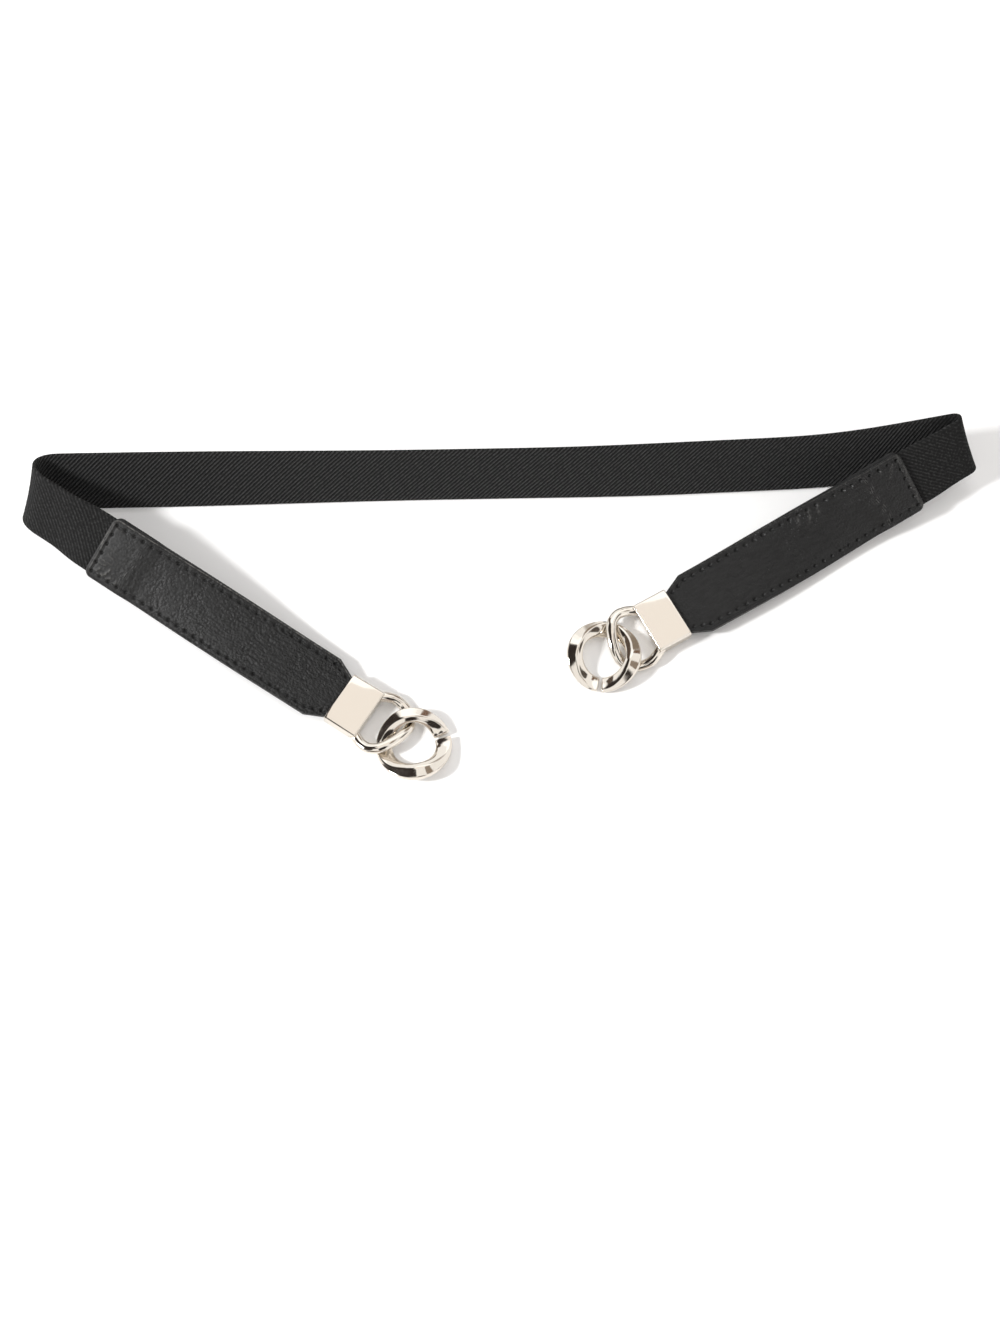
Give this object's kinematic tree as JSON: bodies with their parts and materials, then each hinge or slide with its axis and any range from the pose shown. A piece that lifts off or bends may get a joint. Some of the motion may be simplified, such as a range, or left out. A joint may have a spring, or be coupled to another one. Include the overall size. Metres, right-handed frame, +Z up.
{
  "type": "elastic belt",
  "caption": "Narrow elastic belt with leather tabs, lying open, with a metal end cap, half link and slit curb ring at each end.",
  "frame": {"origin": "on the surface that the belt lies on, under the middle of its bounding box", "axes": "+X to the right along the back run, +Y away from the two free ends, +Z up"},
  "size_m": [0.3572, 0.1366, 0.027],
  "materials": {
    "elastic": "black diagonal twill elastic",
    "leather": "black grained leather, soft sheen",
    "backing": "black smooth leather",
    "nickel": "polished pale nickel"
  },
  "bodies": {
    "root": {"elastic_band": "elastic", "left_tab_front": "leather", "left_tab_back": "backing", "right_tab_front": "leather", "right_tab_back": "backing", "left_end_cap": "nickel", "right_end_cap": "nickel", "left_ring": "nickel", "right_ring": "nickel"}
  },
  "joints": []
}
